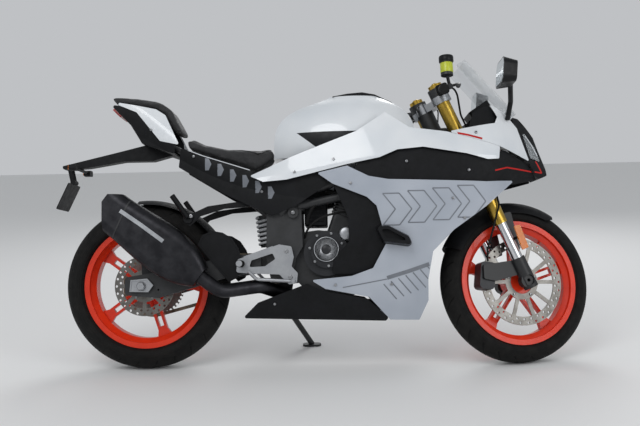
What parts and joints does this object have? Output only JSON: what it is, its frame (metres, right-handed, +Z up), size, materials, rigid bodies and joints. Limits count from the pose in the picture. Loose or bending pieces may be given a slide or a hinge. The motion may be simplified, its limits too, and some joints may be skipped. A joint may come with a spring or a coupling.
{
  "type": "sport motorcycle",
  "caption": "Road sport motorcycle with fairing, gold upside-down fork and spoked wheels, parked leaning on its side stand with the bars turned left",
  "frame": {"origin": "floor under the middle of the bounding box", "axes": "+X forward, +Y to the rider's left, +Z up from the floor"},
  "size_m": [1.9847, 0.7378, 1.1325],
  "materials": {
    "dark_metal": "satin black",
    "black_plastic": "textured black",
    "steel": "ground",
    "cast_aluminium": "cast",
    "dark_steel": "dark brushed",
    "chrome": "hard chrome",
    "gold_anodised": "anodised gold",
    "orange_paint": "satin orange-red",
    "tyre": "rubber",
    "white_paint": "pearl white lacquer",
    "grip_rubber": "rubber",
    "lamp_lens": "clear",
    "seat_cover": "grained vinyl",
    "orange_reflector": "clear orange",
    "red_lens": "red",
    "clear_screen": "clear"
  },
  "bodies": {
    "chassis": {"belly_pan": "black_plastic", "chain": "steel", "dashboard": "black_plastic", "duct_panels": "black_plastic", "engine": "dark_metal", "engine_covers": "cast_aluminium", "exhaust_pipe": "dark_steel", "fairing_stay": "dark_metal", "frame": "dark_metal", "front_sprocket": "steel", "fuel_tank": "white_paint", "headlights": "lamp_lens", "inner_panels": "black_plastic", "lower_fairings": "white_paint", "mirrors": "black_plastic", "nose_cowl": "black_plastic", "passenger_hangers": "cast_aluminium", "pillion_seat": "seat_cover", "plate_holder": "black_plastic", "radiator": "dark_metal", "rear_caliper": "dark_metal", "rear_hugger": "black_plastic", "rearsets": "cast_aluminium", "rider_seat": "seat_cover", "shock": "dark_metal", "side_covers": "black_plastic", "silencer": "dark_steel", "subframe": "dark_metal", "swingarm": "cast_aluminium", "tail_cover": "black_plastic", "tail_light": "red_lens", "tail_wings": "white_paint", "tank_cover": "black_plastic", "upper_cowls": "white_paint", "upper_panels": "white_paint", "windscreen": "clear_screen", "winglets": "black_plastic"},
    "steering": {"fork_yokes": "cast_aluminium", "fork_outer_tubes": "gold_anodised", "fork_inner_tubes": "chrome", "handlebars": "dark_metal", "grips": "grip_rubber", "bar_controls": "dark_metal", "front_fender": "black_plastic", "front_caliper": "dark_metal", "levers": "dark_metal", "reflectors": "orange_reflector", "brake_hoses": "dark_metal"},
    "front_wheel": {"front_rim": "orange_paint", "front_tyre": "tyre", "front_disc": "steel"},
    "rear_wheel": {"rear_rim": "orange_paint", "rear_tyre": "tyre", "rear_disc": "steel", "rear_sprocket": "steel"},
    "side_stand": {"side_stand": "dark_metal"},
    "fuel_cap": {"fuel_cap": "dark_metal"}
  },
  "joints": [
    {"name": "steering", "type": "hinge", "parent": "chassis", "child": "steering", "pos_m": [0.44327, -0.03495, 0.80737], "axis": [-0.4038, 0.1589, 0.901], "range_deg": [-44.4, 9.6]},
    {"name": "front_wheel_spin", "type": "hinge", "parent": "steering", "child": "front_wheel", "pos_m": [0.70836, -0.11836, 0.28328], "axis": [-0.2736, 0.9188, -0.2846], "continuous": true},
    {"name": "rear_wheel_spin", "type": "hinge", "parent": "chassis", "child": "rear_wheel", "pos_m": [-0.66035, -0.12396, 0.30257], "axis": [0, 0.9848, -0.1736], "continuous": true},
    {"name": "side_stand_fold", "type": "hinge", "parent": "chassis", "child": "side_stand", "pos_m": [-0.16858, 0.02117, 0.20427], "axis": [0.0122, 0.8978, 0.4403], "range_deg": [0, 105.5]},
    {"name": "fuel_cap_lid", "type": "hinge", "parent": "chassis", "child": "fuel_cap", "pos_m": [0.18397, -0.0008, 1.00104], "axis": [0, 0.9848, -0.1736], "range_deg": [0, 100]}
  ]
}
